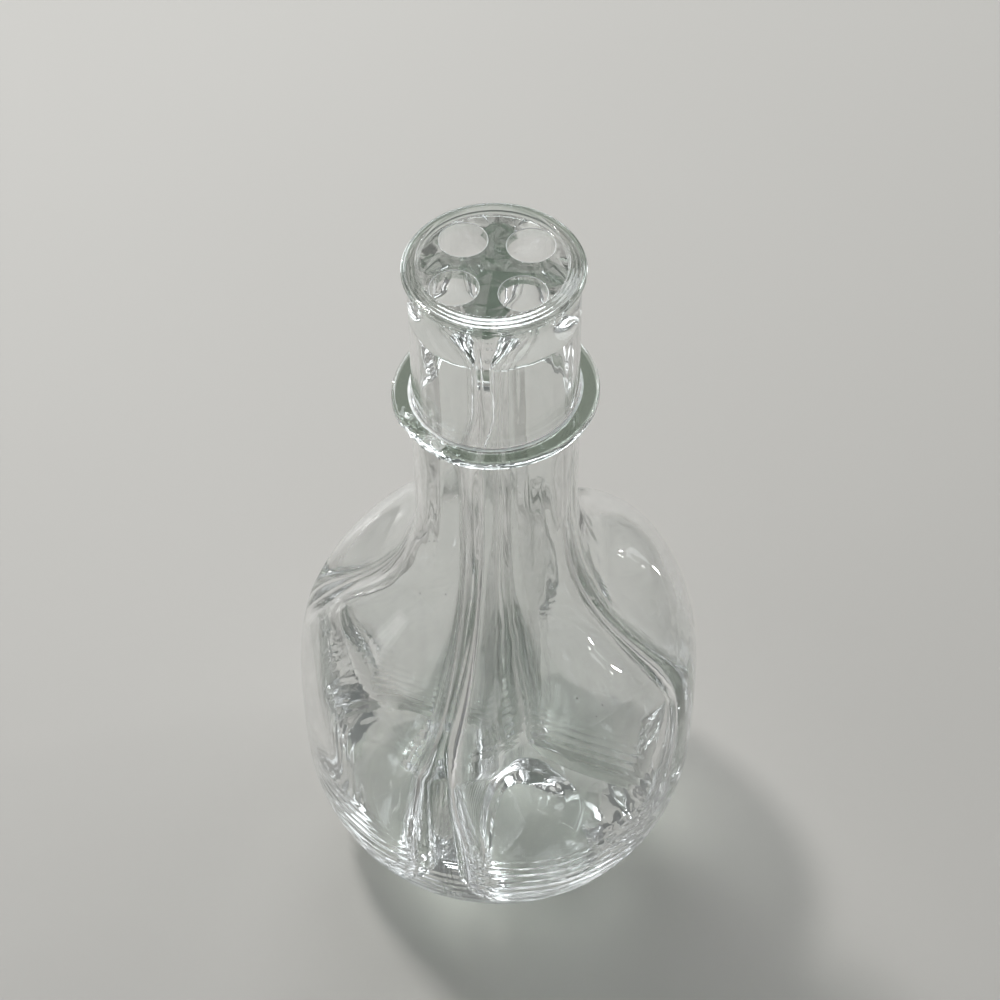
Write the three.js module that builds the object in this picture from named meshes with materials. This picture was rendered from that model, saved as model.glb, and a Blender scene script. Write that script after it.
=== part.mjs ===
// A liqueur decanter with four chambers, in clear glass: four blown quarter vessels fused back to
// back, each with its own neck, and a head whose four throats open in one shared mouth.
// Millimetres, +Z up, origin at the middle of the face that it stands on. The partition walls of
// the body lie in the planes x = 0 and y = 0. The head's cross is turned against them.
import * as THREE from 'three';

// Body: the outer form of the four chambers
const BODY_RADIUS = 62.2; // at the widest
const BELLY_HEIGHT = 61; // height of the widest place
const HEEL_CUT = 2.5; // the heel's oval is cut flat this far above its lowest point
const HEEL_POWER = 3.0; // 2 is an ellipse, more is squarer
const SHOULDER_RISE = 62.5; // half height of the oval above the widest place
const SHOULDER_POWER = 3.3;
const BACK_RIGHT_RISE = 64; // half height of the oval over the middle of each chamber
const BACK_LEFT_RISE = 60;
const FRONT_LEFT_RISE = 62;
const FRONT_RIGHT_RISE = 62.5;
const LOBE_FLARE_INSET = 8.2; // a lobe leaves its oval for the neck this far inside the widest
const CREASE_CORNER_RISE = 32; // the groove between two lobes starts this far above the widest
const GROOVE_SHARPNESS = 0.75; // 1 is a sine, less is a narrower groove
const GROOVE_FILLET = 0.07; // softens the bottom of the groove

// Curves from the shoulder to the neck, as shares of the flare's width or height
const LOBE_LEAD = 0.7; // along the slope that the shoulder has there
const LOBE_NECK_LEAD = 0.26; // down from the neck
const CREASE_LEAD_IN = 0.58; // inwards from the groove's corner
const CREASE_LEAD_UP = 0.11;
const CREASE_INNER_LEAD_UP = 0.16; // the groove is rounder inside the glass
const CREASE_NECK_OUT = 0.09;
const CREASE_NECK_LEAD = 0.7; // down from the neck

// Neck
const FLARE_RISE = 92; // the flare has become the neck this far above the widest place
const NECK_RADIUS = 24.5; // over a chamber
const NECK_GROOVE_DEPTH = 1.6;
const NECK_LENGTH = 46.5; // from the flare to the joint with the head
const NECK_ROUND_START = 24; // the grooves start to run out this far below the joint
const NECK_ROUND_END = 7.4; // and are gone this far below it, under the collar

// Walls
const BODY_WALL = 3.0;
const NECK_WALL = 2.4;
const WEB_HALF = 1.8; // half of a partition wall in the body
const NECK_WEB_HALF = 1.5; // half of a partition wall in the neck and head
const CORNER_POWER = 7; // how tightly the corners of a chamber are rounded
const SHOULDER_LEAN = Math.SQRT1_2; // the wall lies at about 45 degrees where the flare starts
const GROOVE_INSIDE_DROP = 3; // the groove's corner lies lower inside, by this many walls
const HOLLOW_MIDDLE = 0.4; // middle of a chamber, as a share of the way from web to outer wall
const FLOOR_THICKNESS = 3.5; // from the pad to the lowest point of a chamber's floor
const BOWL_DEPTH = 25.5; // the floor curves up into the walls over this height
const BOWL_POWER = 2.3;

// Base pad
const PAD_THICKNESS = 11; // the chambers stand on the pad
const FOOT_RING_WIDTH = 7; // flat ring that the decanter stands on
const PUSH_UP_RISE = 2.2; // hollow inside the ring

// Head
const HEAD_TURN = THREE.MathUtils.degToRad(12); // twist of the head against the body
const HEAD_RADIUS = 23.7;
const HEAD_LENGTH = 43.1; // from the joint to the top of the plate
const SEAM = 0.3; // space left at a joint between turned pieces
const HOLE_RADIUS = 6.6;
const HOLE_PITCH = 18.4; // side of the square of hole centres
const POUR_SHIFT_X = -0.6; // the cross lies off the head's axis by this
const POUR_SHIFT_Y = 2.2;
const PLATE_THICKNESS = 3;
const THROAT_FLARE = 15; // a throat narrows to its round hole over this length under the plate
const THROAT_COLLAR = 3; // and stays round over this length

// Rim lip
const LIP_OVERHANG = 1.3; // the bead stands out from the head by this
const BEAD_RADIUS = 1.2;
const BEAD_RISE = 1.4; // middle of the bead above the plate
const BEAD_START = -0.3 * Math.PI; // the bead's arc, from the head's side over the top
const BEAD_END = 0.5 * Math.PI;
const LIP_FALL = 0.45; // the lip's top falls by this from the bead to its inner corner
const LIP_CORNER = 0.6; // the inner corner is cut off by this
const RECESS_MARGIN = 0.4; // from the holes to the lip's inner wall

// Collar
const COLLAR_OVERHANG = 5.8; // the collar stands out from the head by this
const COLLAR_THICKNESS = 2.8;
const COLLAR_DROP = 2.6; // middle of the collar below the joint
const COLLAR_FILLET = 1.9; // the glass runs up and down the neck by this much
const COLLAR_TILT = THREE.MathUtils.degToRad(2.5);
const COLLAR_LOW_SIDE = THREE.MathUtils.degToRad(200); // direction in which the collar is low
const COLLAR_LUMP = 0.8; // where the laid ring's ends meet, on the low side
const COLLAR_LUMP_WIDTH = 0.22; // radians

// Fineness of the meshes
const ARC_STEPS = 12; // round a quarter
const ARC_CROWDING = 0.75; // 0 spreads the steps evenly, more draws them towards the grooves
const WEB_STEPS = 4; // along a partition wall
const ROUND_STEPS = 48; // round a whole circle
const HEEL_STEPS = 5; // up the pad's heel, and across its hollow underside
const FLARE_STEPS = 5; // along a throat's change from quarter to round
const BEAD_STEPS = 6; // over the lip's bead
const EDGE_STEPS = 4; // round the collar's edge

// Sizes that follow from those above
const FLARE_TOP = BELLY_HEIGHT + FLARE_RISE;
const JOINT_HEIGHT = FLARE_TOP + NECK_LENGTH;
const PLATE_TOP = JOINT_HEIGHT + HEAD_LENGTH;
const PLATE_BOTTOM = PLATE_TOP - PLATE_THICKNESS;
const BOWL_BOTTOM = PAD_THICKNESS + FLOOR_THICKNESS;
const BOWL_TOP = BOWL_BOTTOM + BOWL_DEPTH;
const RECESS_RADIUS = HOLE_PITCH * Math.SQRT1_2 + HOLE_RADIUS + RECESS_MARGIN;
const POUR_SHIFT = new THREE.Vector2(POUR_SHIFT_X, POUR_SHIFT_Y);
const LOBE_RISES = {
  back_right: BACK_RIGHT_RISE,
  back_left: BACK_LEFT_RISE,
  front_left: FRONT_LEFT_RISE,
  front_right: FRONT_RIGHT_RISE,
};

// The outside of the glass, and the inside, which lies in from it by the walls
const OUTSIDE = { wall: 0, neckWall: 0 };
const INSIDE = { wall: BODY_WALL, neckWall: NECK_WALL };

function mix(a, b, t) {
  return a + (b - a) * t;
}

function steps(count) {
  return Array.from({ length: count + 1 }, (unused, i) => i / count);
}

// Half width at height h of an oval with half axes width and height
function oval(h, width, height, power) {
  return width * (1 - Math.abs(h / height) ** power) ** (1 / power);
}

// A closed body through rings of points that run the same way round. A ring of one point is a tip.
// A closed loft joins its last ring to its first.
function loft(rings, closed = false) {
  const positions = [];
  const index = [];
  const starts = rings.map((ring) => {
    const start = positions.length / 3;
    ring.forEach((p) => positions.push(p.x, p.y, p.z));
    return start;
  });
  const bands = closed ? rings.length : rings.length - 1;
  for (let i = 0; i < bands; i += 1) {
    const next = (i + 1) % rings.length;
    const a = starts[i];
    const b = starts[next];
    const count = Math.max(rings[i].length, rings[next].length);
    for (let j = 0; j < count; j += 1) {
      const k = (j + 1) % count;
      if (rings[i].length === 1) index.push(a, b + k, b + j);
      else if (rings[next].length === 1) index.push(a + j, a + k, b);
      else index.push(a + j, a + k, b + k, a + j, b + k, b + j);
    }
  }
  const geometry = new THREE.BufferGeometry();
  geometry.setAttribute('position', new THREE.Float32BufferAttribute(positions, 3));
  geometry.setIndex(index);
  geometry.computeVertexNormals();
  return geometry;
}

// The body's outline in a plane through the axis, as [radius, height] for a stage from 0 to 4:
// 0 at the pad, 1 at the widest, 2 at the shoulder, 3 where the neck starts, 4 at the joint

function heelOutline(z, skin) {
  const depth = BELLY_HEIGHT + HEEL_CUT;
  return [oval(BELLY_HEIGHT - z, BODY_RADIUS - skin.wall, depth, HEEL_POWER), z];
}

function shoulderHeight(radius, skin, rise) {
  return BELLY_HEIGHT + oval(radius, rise - skin.wall, BODY_RADIUS - skin.wall, SHOULDER_POWER);
}

function shoulderRadius(z, skin, rise) {
  return oval(z - BELLY_HEIGHT, BODY_RADIUS - skin.wall, rise - skin.wall, SHOULDER_POWER);
}

function curveOutline(points, t) {
  const curve = new THREE.CubicBezierCurve(...points.map(([r, z]) => new THREE.Vector2(r, z)));
  return curve.getPoint(t).toArray();
}

// The neck keeps its own radius at first and ends round, as wide as the head
function neckOutline(t, radius, skin) {
  const z = mix(FLARE_TOP, JOINT_HEIGHT, t);
  const start = JOINT_HEIGHT - NECK_ROUND_START;
  const roundness = THREE.MathUtils.smoothstep(z, start, JOINT_HEIGHT - NECK_ROUND_END);
  return [mix(radius, HEAD_RADIUS, roundness) - skin.neckWall, z];
}

// Over the middle of a chamber
function lobeOutline(stage, skin, rise) {
  const edge = BODY_RADIUS - LOBE_FLARE_INSET - skin.wall * SHOULDER_LEAN;
  const edgeHeight = shoulderHeight(edge, skin, rise);
  if (stage <= 1) return heelOutline(mix(PAD_THICKNESS, BELLY_HEIGHT, stage), skin);
  if (stage <= 2) {
    const z = mix(BELLY_HEIGHT, edgeHeight, stage - 1);
    return [shoulderRadius(z, skin, rise), z];
  }
  if (stage > 3) return neckOutline(stage - 3, NECK_RADIUS, skin);
  const nudge = 0.01;
  const nearby = shoulderHeight(edge + nudge, skin, rise);
  const slope = new THREE.Vector2(-nudge, edgeHeight - nearby).normalize();
  const reach = (edge - NECK_RADIUS) * LOBE_LEAD;
  const neck = NECK_RADIUS - skin.neckWall;
  return curveOutline([
    [edge, edgeHeight],
    [edge + slope.x * reach, edgeHeight + slope.y * reach],
    [neck, mix(edgeHeight, FLARE_TOP, LOBE_NECK_LEAD)],
    [neck, FLARE_TOP],
  ], stage - 2);
}

// In the groove between two chambers. Inside the glass the groove's corner is lower and rounder.
function creaseOutline(stage, skin) {
  const corner = BELLY_HEIGHT + CREASE_CORNER_RISE - skin.wall * GROOVE_INSIDE_DROP;
  const edge = shoulderRadius(corner, skin, SHOULDER_RISE);
  if (stage <= 1) return heelOutline(mix(PAD_THICKNESS, BELLY_HEIGHT, stage), skin);
  if (stage <= 2) {
    const z = mix(BELLY_HEIGHT, corner, stage - 1);
    return [shoulderRadius(z, skin, SHOULDER_RISE), z];
  }
  if (stage > 3) return neckOutline(stage - 3, NECK_RADIUS - NECK_GROOVE_DEPTH, skin);
  const neck = NECK_RADIUS - NECK_GROOVE_DEPTH - skin.neckWall;
  const leadUp = skin.wall > 0 ? CREASE_INNER_LEAD_UP : CREASE_LEAD_UP;
  return curveOutline([
    [edge, corner],
    [mix(neck, edge, CREASE_LEAD_IN), mix(corner, FLARE_TOP, leadUp)],
    [mix(neck, edge, CREASE_NECK_OUT), mix(FLARE_TOP, corner, CREASE_NECK_LEAD)],
    [neck, FLARE_TOP],
  ], stage - 2);
}

// 0 in a groove and 1 over the middle of a chamber, for an angle from 0 to a quarter turn
function lobeShare(angle) {
  const half = GROOVE_SHARPNESS / 2;
  const least = GROOVE_FILLET ** GROOVE_SHARPNESS;
  const most = (1 + GROOVE_FILLET ** 2) ** half;
  return ((Math.sin(2 * angle) ** 2 + GROOVE_FILLET ** 2) ** half - least) / (most - least);
}

function bodyPoint(angle, stage, skin, rise) {
  const share = lobeShare(angle);
  const [lobeRadius, lobeHeight] = lobeOutline(stage, skin, rise);
  const [creaseRadius, creaseHeight] = creaseOutline(stage, skin);
  const radius = mix(creaseRadius, lobeRadius, share);
  const z = mix(creaseHeight, lobeHeight, share);
  return new THREE.Vector3(radius * Math.cos(angle), radius * Math.sin(angle), z);
}

// The angles round a quarter, closer together beside the grooves
const QUARTER_ANGLES = steps(ARC_STEPS).map((t) => (
  (t - ARC_CROWDING * Math.sin(2 * Math.PI * t) / (2 * Math.PI)) * Math.PI / 2
));

// Out from the corner along one partition wall, round the arc, and back along the other wall
function quarterRing(corner, arc) {
  const along = steps(WEB_STEPS).slice(0, -1);
  const first = arc[0];
  const last = arc[arc.length - 1];
  const out = along.map((t) => new THREE.Vector3(mix(corner.x, first.x, t), corner.y, first.z));
  const back = along.slice(1).reverse().map((t) => (
    new THREE.Vector3(corner.x, mix(corner.y, last.y, t), last.z)
  ));
  first.y = corner.y;
  last.x = corner.x;
  return [...out, ...arc, ...back];
}

function chamberOuterRing(stage, rise) {
  const arc = QUARTER_ANGLES.map((angle) => bodyPoint(angle, stage, OUTSIDE, rise));
  return quarterRing(new THREE.Vector2(), arc);
}

// How far a quarter's hollow reaches from its middle in one direction: to the outer wall and to
// the two partition walls, which lie webX and webY away, with the corners rounded
function reachInside(middle, direction, radius, webX, webY) {
  const ahead = middle.dot(direction);
  const far = -ahead + Math.sqrt(ahead ** 2 - middle.lengthSq() + radius ** 2);
  let sum = far ** -CORNER_POWER;
  if (direction.x < 0) sum += (webX / -direction.x) ** -CORNER_POWER;
  if (direction.y < 0) sum += (webY / -direction.y) ** -CORNER_POWER;
  return sum ** (-1 / CORNER_POWER);
}

function directionTo(point, middle) {
  return new THREE.Vector2(point.x - middle.x, point.y - middle.y).normalize();
}

// Half of the partition wall's thickness at a stage
function webHalf(stage) {
  return mix(WEB_HALF, NECK_WEB_HALF, THREE.MathUtils.smoothstep(stage, 2, 3));
}

// Distance of a chamber's hollow's middle from both partition planes at a stage
function hollowMiddle(stage) {
  return mix(webHalf(stage), creaseOutline(stage, INSIDE)[0], HOLLOW_MIDDLE);
}

// The hollow of a chamber at a stage, or a smaller ring of that form at a height in its floor
function chamberInnerRing(stage, rise, scale = 1, height = null) {
  const web = webHalf(stage);
  const offset = hollowMiddle(stage);
  const middle = new THREE.Vector2(offset, offset);
  return chamberOuterRing(stage, rise).map((point, i) => {
    const step = THREE.MathUtils.clamp(i - WEB_STEPS, 0, ARC_STEPS);
    const angle = i > WEB_STEPS + ARC_STEPS ? 0 : QUARTER_ANGLES[step];
    const wall = bodyPoint(angle, stage, INSIDE, rise);
    const direction = directionTo(point, middle);
    const radius = Math.hypot(wall.x, wall.y);
    const reach = scale * reachInside(middle, direction, radius, offset - web, offset - web);
    return new THREE.Vector3(
      middle.x + direction.x * reach,
      middle.y + direction.y * reach,
      height ?? wall.z,
    );
  });
}

// Stages at which a chamber has rings, from the pad to the joint
const HEEL_STAGES = [0, 0.12, 0.28, 0.5, 0.75];
const SHOULDER_STAGES = [1, 1.35, 1.7, 2, 2.12, 2.25, 2.38, 2.5, 2.62, 2.75, 2.87, 3];
const NECK_STAGES = [NECK_ROUND_START, (NECK_ROUND_START + NECK_ROUND_END) / 2, NECK_ROUND_END, 0];
const UPPER_STAGES = [...SHOULDER_STAGES, ...NECK_STAGES.map((down) => 4 - down / NECK_LENGTH)];
const BOWL_STEPS = [0, 0.2, 0.4, 0.58, 0.74, 0.88]; // shares of the turn from wall to floor

// One chamber between the planes x = 0 and y = 0: outside up to the joint, inside down to the floor
function chamberGeometry(rise) {
  const outer = [...HEEL_STAGES, ...UPPER_STAGES].map((stage) => chamberOuterRing(stage, rise));
  const inner = UPPER_STAGES.map((stage) => chamberInnerRing(stage, rise)).reverse();
  const bowlStage = (BOWL_TOP - PAD_THICKNESS) / (BELLY_HEIGHT - PAD_THICKNESS);
  const bowl = BOWL_STEPS.map((t) => {
    const depth = Math.sin(t * Math.PI / 2) ** (2 / BOWL_POWER);
    const scale = Math.cos(t * Math.PI / 2) ** (2 / BOWL_POWER);
    return chamberInnerRing(bowlStage, rise, scale, mix(BOWL_TOP, BOWL_BOTTOM, depth));
  });
  const offset = hollowMiddle(bowlStage);
  const underTip = new THREE.Vector3(offset, offset, PAD_THICKNESS);
  const floorTip = new THREE.Vector3(offset, offset, BOWL_BOTTOM);
  return loft([[underTip], ...outer, ...inner, ...bowl, [floorTip]]);
}

// One throat: a quarter of the head, cut through the middle of the four holes. Its hollow is a
// rounded quarter at the neck and a round hole under the plate. quarter counts round from the back
// right.
function throatGeometry(quarter) {
  const turn = quarter * Math.PI / 2;
  const shift = POUR_SHIFT.clone().rotateAround(new THREE.Vector2(), -turn);
  const corner = shift.clone().addScalar(SEAM / 2);
  const start = Math.asin(corner.y / HEAD_RADIUS);
  const end = Math.acos(corner.x / HEAD_RADIUS);
  const middle = shift.clone().addScalar(HOLE_PITCH / 2);
  const web = HOLE_PITCH / 2 - NECK_WEB_HALF;
  const outerRing = (z) => quarterRing(corner, steps(ARC_STEPS).map((t) => {
    const angle = mix(start, end, t);
    return new THREE.Vector3(HEAD_RADIUS * Math.cos(angle), HEAD_RADIUS * Math.sin(angle), z);
  }));
  const roundTop = PLATE_BOTTOM - THROAT_COLLAR;
  const innerRing = (z) => outerRing(z).map((point) => {
    const roundness = THREE.MathUtils.smoothstep(z, roundTop - THROAT_FLARE, roundTop);
    const direction = directionTo(point, middle);
    const quarterReach = reachInside(middle, direction, HEAD_RADIUS - NECK_WALL, web, web);
    const reach = mix(quarterReach, HOLE_RADIUS, roundness);
    return new THREE.Vector3(middle.x + direction.x * reach, middle.y + direction.y * reach, z);
  });
  const bottom = JOINT_HEIGHT + SEAM;
  const flare = steps(FLARE_STEPS).map((t) => mix(roundTop - THROAT_FLARE, roundTop, t));
  const inside = [bottom, ...flare, PLATE_BOTTOM].map(innerRing).reverse();
  return loft([outerRing(bottom), outerRing(PLATE_BOTTOM), ...inside], true).rotateZ(turn);
}

// The floor of the mouth, with its four pouring holes
function pourPlateGeometry() {
  const disc = new THREE.Shape().absarc(0, 0, HEAD_RADIUS, 0, 2 * Math.PI);
  [-1, 1].forEach((sideX) => [-1, 1].forEach((sideY) => {
    const x = POUR_SHIFT.x + HOLE_PITCH / 2 * sideX;
    const y = POUR_SHIFT.y + HOLE_PITCH / 2 * sideY;
    disc.holes.push(new THREE.Path().absarc(x, y, HOLE_RADIUS, 0, 2 * Math.PI, true));
  }));
  const options = { depth: PLATE_THICKNESS, bevelEnabled: false, curveSegments: ROUND_STEPS / 2 };
  return new THREE.ExtrudeGeometry(disc, options).translate(0, 0, PLATE_BOTTOM);
}

// A ring of glass round the axis. place gives the point for an angle and a point of the section.
function ringGeometry(section, place) {
  const angles = steps(ROUND_STEPS).slice(0, -1).map((t) => 2 * Math.PI * t);
  return loft(section.map((at) => angles.map((angle) => place(angle, at))), true);
}

// The lip: up the outside, over the bead, across the top and down the inner wall to the plate. The
// wall stands round the holes. share is how far a circle has moved over the holes' middle.
function rimLipGeometry() {
  const beadMiddle = HEAD_RADIUS + LIP_OVERHANG - BEAD_RADIUS;
  const beadHeight = PLATE_TOP + BEAD_RISE;
  const bead = steps(BEAD_STEPS).map((t) => {
    const angle = mix(BEAD_START, BEAD_END, t);
    const radius = beadMiddle + BEAD_RADIUS * Math.cos(angle);
    return { radius, z: beadHeight + BEAD_RADIUS * Math.sin(angle), share: 0 };
  });
  const cornerHeight = beadHeight + BEAD_RADIUS - LIP_FALL;
  const section = [
    { radius: HEAD_RADIUS, z: PLATE_TOP, share: 0 },
    ...bead,
    { radius: RECESS_RADIUS + LIP_CORNER, z: cornerHeight, share: 1 },
    { radius: RECESS_RADIUS, z: cornerHeight - LIP_CORNER, share: 1 },
    { radius: RECESS_RADIUS, z: PLATE_TOP, share: 1 },
  ];
  return ringGeometry(section, (angle, { radius, z, share }) => new THREE.Vector3(
    radius * Math.cos(angle) + POUR_SHIFT.x * share,
    radius * Math.sin(angle) + POUR_SHIFT.y * share,
    z,
  ));
}

// The laid ring: flat on top and below, a round edge, a fillet to the neck at both sides, and a
// lump where its ends meet
function collarGeometry() {
  const inner = HEAD_RADIUS + SEAM;
  const outer = HEAD_RADIUS + COLLAR_OVERHANG;
  const half = COLLAR_THICKNESS / 2;
  const edge = steps(EDGE_STEPS).map((t) => {
    const angle = mix(-0.5, 0.5, t) * Math.PI;
    return [outer - half * (1 - Math.cos(angle)), half * Math.sin(angle)];
  });
  const fillet = [1, 0.3, 0].map((t) => [inner + COLLAR_FILLET * (1 - t) ** 2, COLLAR_FILLET * t]);
  const section = [
    ...fillet.map(([radius, run]) => [radius, -half - run]),
    ...edge,
    ...fillet.reverse().map(([radius, run]) => [radius, half + run]),
  ];
  return ringGeometry(section, (angle, [radius, z]) => {
    const away = Math.acos(Math.cos(angle - COLLAR_LOW_SIDE));
    const out = (radius - inner) / (outer - inner);
    const lump = COLLAR_LUMP * out * Math.exp(-((away / COLLAR_LUMP_WIDTH) ** 2));
    const drawnIn = radius - lump / 2;
    const height = z * (1 + lump / half);
    return new THREE.Vector3(drawnIn * Math.cos(angle), drawnIn * Math.sin(angle), height);
  });
}

// The pad: a hollow underside, the flat ring that it stands on, the heel, and a flat top
function basePadGeometry() {
  const heel = steps(HEEL_STEPS).map((t) => heelOutline(PAD_THICKNESS * t, OUTSIDE));
  const pushUpRadius = heel[0][0] - FOOT_RING_WIDTH;
  const hollow = steps(HEEL_STEPS).map((t) => [pushUpRadius * t, PUSH_UP_RISE * (1 - t ** 2)]);
  const points = [...hollow, ...heel, [0, PAD_THICKNESS]];
  const outline = points.map(([radius, z]) => new THREE.Vector2(radius, z));
  return new THREE.LatheGeometry(outline, ROUND_STEPS).rotateX(Math.PI / 2);
}

// Turns a geometry about Z by whole quarters, so that its planes stay exact
function quarterTurned(geometry, quarter) {
  const [c, s] = [[1, 0], [0, 1], [-1, 0], [0, -1]][quarter];
  const turn = new THREE.Matrix4().set(c, -s, 0, 0, s, c, 0, 0, 0, 0, 1, 0, 0, 0, 0, 1);
  return geometry.applyMatrix4(turn);
}

// Clear glass, faintly green where it is thick
const CLEAR = '#dfe9e4';
const THICK = '#b9cfc4';

function glassPiece(name, geometry, color) {
  const material = new THREE.MeshStandardMaterial({
    color, roughness: 0.03, metalness: 0, transparent: true, opacity: 0.35,
  });
  const mesh = new THREE.Mesh(geometry, material);
  mesh.name = name;
  return mesh;
}

const decanter = new THREE.Group();
decanter.add(glassPiece('base_pad', basePadGeometry(), THICK));

const head = new THREE.Group();
head.rotation.z = HEAD_TURN;
Object.entries(LOBE_RISES).forEach(([place, rise], quarter) => {
  const chamber = quarterTurned(chamberGeometry(rise), quarter);
  decanter.add(glassPiece(`chamber_${place}`, chamber, CLEAR));
  head.add(glassPiece(`throat_${place}`, throatGeometry(quarter), CLEAR));
});
head.add(glassPiece('pour_plate', pourPlateGeometry(), THICK));
head.add(glassPiece('rim_lip', rimLipGeometry(), THICK));
decanter.add(head);

const collar = glassPiece('neck_collar', collarGeometry(), THICK);
collar.position.z = JOINT_HEIGHT - COLLAR_DROP;
const tiltAxis = new THREE.Vector3(-Math.sin(COLLAR_LOW_SIDE), Math.cos(COLLAR_LOW_SIDE), 0);
collar.quaternion.setFromAxisAngle(tiltAxis, COLLAR_TILT);
decanter.add(collar);

export default decanter;
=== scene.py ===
# A liqueur decanter with four chambers, in clear hand-worked glass. Each piece repeats the form of
# its solid with a finer surface. Lengths are in metres, +Z is up. Where two pieces are fused there
# is no surface inside the glass, so those faces carry a clear material of their own.
import math

import bpy
import numpy as np
from mathutils import Matrix, Vector


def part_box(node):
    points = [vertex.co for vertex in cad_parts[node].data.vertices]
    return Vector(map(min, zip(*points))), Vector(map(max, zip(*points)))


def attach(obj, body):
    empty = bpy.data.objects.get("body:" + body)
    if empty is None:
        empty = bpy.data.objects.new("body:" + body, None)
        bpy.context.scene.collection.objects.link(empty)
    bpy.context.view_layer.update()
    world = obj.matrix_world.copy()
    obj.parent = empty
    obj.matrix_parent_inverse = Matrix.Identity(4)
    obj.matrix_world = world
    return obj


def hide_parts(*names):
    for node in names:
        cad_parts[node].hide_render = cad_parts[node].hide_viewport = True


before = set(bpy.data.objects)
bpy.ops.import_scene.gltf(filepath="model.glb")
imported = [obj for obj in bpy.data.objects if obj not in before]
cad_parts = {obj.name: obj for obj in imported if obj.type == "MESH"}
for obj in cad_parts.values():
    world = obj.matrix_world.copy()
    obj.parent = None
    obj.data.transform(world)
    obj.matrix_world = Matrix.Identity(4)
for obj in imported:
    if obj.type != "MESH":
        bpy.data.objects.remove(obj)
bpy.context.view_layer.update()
MM = 0.001

# Sizes that the solids give
CHAMBER_LOW, CHAMBER_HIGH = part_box("chamber_back_right")
BODY_RADIUS = CHAMBER_HIGH.x
PAD_TOP = CHAMBER_LOW.z
JOINT_HEIGHT = CHAMBER_HIGH.z
PLATE_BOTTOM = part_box("pour_plate")[0].z
PLATE_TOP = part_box("pour_plate")[1].z

# Body
BELLY_HEIGHT = 61 * MM
HEEL_CUT = 2.5 * MM
HEEL_POWER = 3.0
SHOULDER_RISE = 62.5 * MM
SHOULDER_POWER = 3.3
LOBE_RISES = {
    "back_right": 64 * MM,
    "back_left": 60 * MM,
    "front_left": 62 * MM,
    "front_right": 62.5 * MM,
}
LOBE_FLARE_INSET = 8.2 * MM
CREASE_CORNER_RISE = 32 * MM
GROOVE_SHARPNESS = 0.75
GROOVE_FILLET = 0.07
LOBE_LEAD = 0.7
LOBE_NECK_LEAD = 0.26
CREASE_LEAD_IN = 0.58
CREASE_LEAD_UP = 0.11
CREASE_INNER_LEAD_UP = 0.16
CREASE_NECK_OUT = 0.09
CREASE_NECK_LEAD = 0.7
CREASE_ROUNDING = 0.16  # in stages, and the next one too
CREASE_ROUNDED = 0.5

# Neck, walls and floor
FLARE_TOP = BELLY_HEIGHT + 92 * MM
NECK_RADIUS = 24.5 * MM
NECK_GROOVE_DEPTH = 1.6 * MM
NECK_ROUND_START = 24 * MM  # below the joint
NECK_ROUND_END = 7.4 * MM
BODY_WALL = 3.0 * MM
NECK_WALL = 2.4 * MM
WEB_HALF = 1.8 * MM
NECK_WEB_HALF = 1.5 * MM
CORNER_POWER = 7
LOW_CORNER_POWER = 3.2
CORNER_FULL_STAGE = 2.3
SHOULDER_LEAN = math.sqrt(0.5)
GROOVE_INSIDE_DROP = 1.6
HOLLOW_MIDDLE = 0.4
BOWL_BOTTOM = PAD_TOP + 3.5 * MM
BOWL_TOP = BOWL_BOTTOM + 25.5 * MM
BOWL_POWER = 2.3
FOOT_RING_WIDTH = 7 * MM
FOOT_FLAT_EDGE = 1 * MM
FOOT_CUT_IN = 0.15 * MM
FOOT_CUT_UP = 0.05 * MM
PAD_CROWDING = 1.5
PUSH_UP_RISE = 2.2 * MM

# Head
HEAD_TURN = math.radians(12)
TWIST_LENGTH = 11 * MM  # the cross turns over this length on each side of the joint
HEAD_RADIUS = 23.7 * MM
HOLE_RADIUS = 6.6 * MM
HOLE_PITCH = 18.4 * MM
HOLE_FILLET = 0.3 * MM
POUR_SHIFT = np.array([-0.6, 2.2]) * MM
THROAT_FLARE = 7.5 * MM
THROAT_EASE = 0.2
THROAT_COLLAR = 3.6 * MM  # the throat is as round as its hole over this length
LIP_OVERHANG = 1.3 * MM
BEAD_RADIUS = 1.19 * MM
BEAD_HEIGHT = PLATE_TOP + 1.4 * MM
RECESS_RADIUS = HOLE_PITCH * math.sqrt(0.5) + HOLE_RADIUS + 0.4 * MM

# Collar
COLLAR_OVERHANG = 5.8 * MM
COLLAR_HALF = 1.4 * MM
COLLAR_HEIGHT = JOINT_HEIGHT - 2.6 * MM
COLLAR_FILLET = 0.5 * MM
COLLAR_CLEARANCE = 0.4 * MM  # from a level ring of the neck to the tilted collar
COLLAR_TILT = math.radians(2.5)
COLLAR_LOW_SIDE = math.radians(200)
CRUMPLE_SIDE = math.radians(243)
CRUMPLE_WIDTH = 0.4  # radians

# Fineness
ARC_STEPS = 56
ARC_CROWDING = 0.66
WEB_STEPS = 10

PLACES = list(LOBE_RISES)

# Kinds of face: clear outer glass, the inside of a fused joint, a joint holding a painted sheet of
# grey-green shade, glass that is deep green, and a painted highlight: a white line at the outside
GLASS, FUSED, SHADE_SHEET, DEEP, HIGHLIGHT_LINE = range(5)
OUTSIDE = (GLASS, DEEP, HIGHLIGHT_LINE)


def mix(a, b, t):
    return a + (b - a) * t


def smoothstep(x, low, high):
    t = np.clip((x - low) / (high - low), 0, 1)
    return t * t * (3 - 2 * t)


def unit(vectors):
    """The same directions with length 1."""
    return vectors / np.maximum(np.linalg.norm(vectors, axis=-1, keepdims=True), 1e-30)


def oval(h, width, height, power):
    return width * (1 - abs(h / height) ** power) ** (1 / power)


def polar(radius, angle, z):
    z = np.broadcast_to(z, np.shape(angle))
    return np.stack([radius * np.cos(angle), radius * np.sin(angle), z], axis=-1)


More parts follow.
